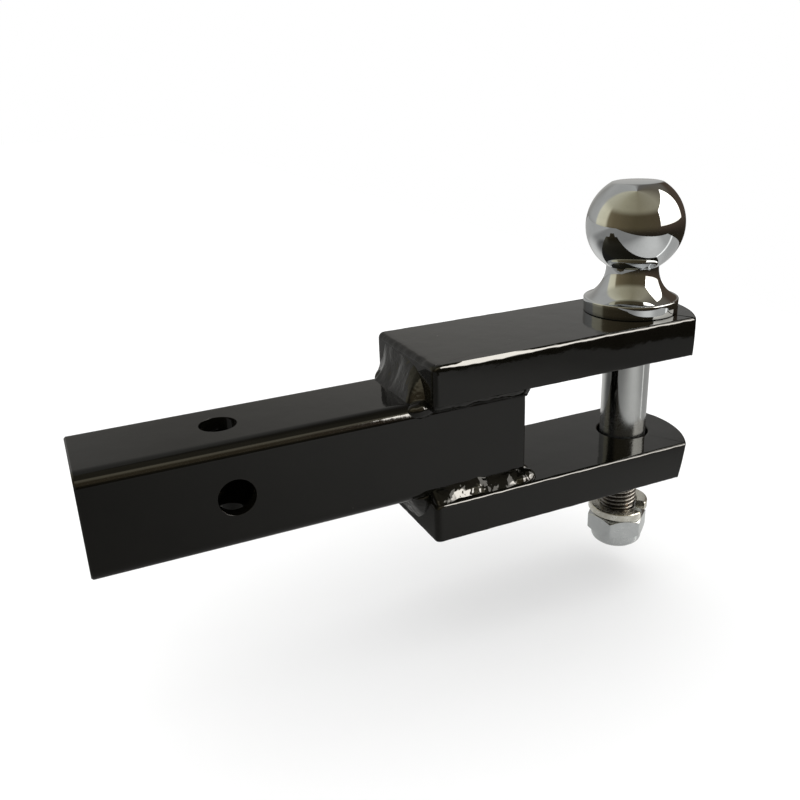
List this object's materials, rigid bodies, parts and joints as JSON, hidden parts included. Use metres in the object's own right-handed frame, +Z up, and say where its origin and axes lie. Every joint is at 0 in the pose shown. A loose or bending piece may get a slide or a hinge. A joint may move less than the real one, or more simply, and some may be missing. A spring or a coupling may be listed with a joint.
{
  "type": "ball mount with hitch ball",
  "caption": "Clevis ball mount: a square receiver shank welded between two plates, with a drop-in ball pin held by a spring washer and lock nut.",
  "frame": {"origin": "where the level and the upright hitch-pin holes cross on the shank's axis", "axes": "+X along the shank towards the ball, +Y along the level hitch-pin hole, +Z up along the other"},
  "size_m": [0.3185, 0.065, 0.2062],
  "materials": {
    "black_paint": "gloss",
    "chrome": "mirror",
    "washer_zinc": "satin",
    "nut_zinc": "satin",
    "nylon": "matte"
  },
  "bodies": {
    "welded_frame": {"shank_tube": "black_paint", "upper_plate": "black_paint", "lower_plate": "black_paint", "upper_front_weld": "black_paint", "upper_back_weld": "black_paint", "upper_inner_weld": "black_paint", "upper_outer_weld": "black_paint", "lower_front_weld": "black_paint", "lower_back_weld": "black_paint", "lower_inner_weld": "black_paint", "lower_outer_weld": "black_paint"},
    "pin": {"ball_pin": "chrome"},
    "washer": {"spring_washer": "washer_zinc"},
    "nut": {"lock_nut": "nut_zinc", "nylon_insert": "nylon"}
  },
  "joints": [
    {"name": "pin_turn", "type": "hinge", "parent": "welded_frame", "child": "pin", "pos_m": [0.2255, 0, 0], "axis": [0, 0, 1], "continuous": true},
    {"name": "nut_travel", "type": "slide", "parent": "pin", "child": "washer", "axis": [0, 0, 1], "range_m": [-0.0151, 0.0216]},
    {"name": "nut_turn", "type": "hinge", "parent": "washer", "child": "nut", "pos_m": [0.2255, 0, -0.0768], "axis": [0, 0, 1], "range_deg": [-2160, 3096]}
  ],
  "couplings": [
    {"joint": "nut_travel", "follows": "nut_turn", "m_per_rad": 0.00039789}
  ]
}
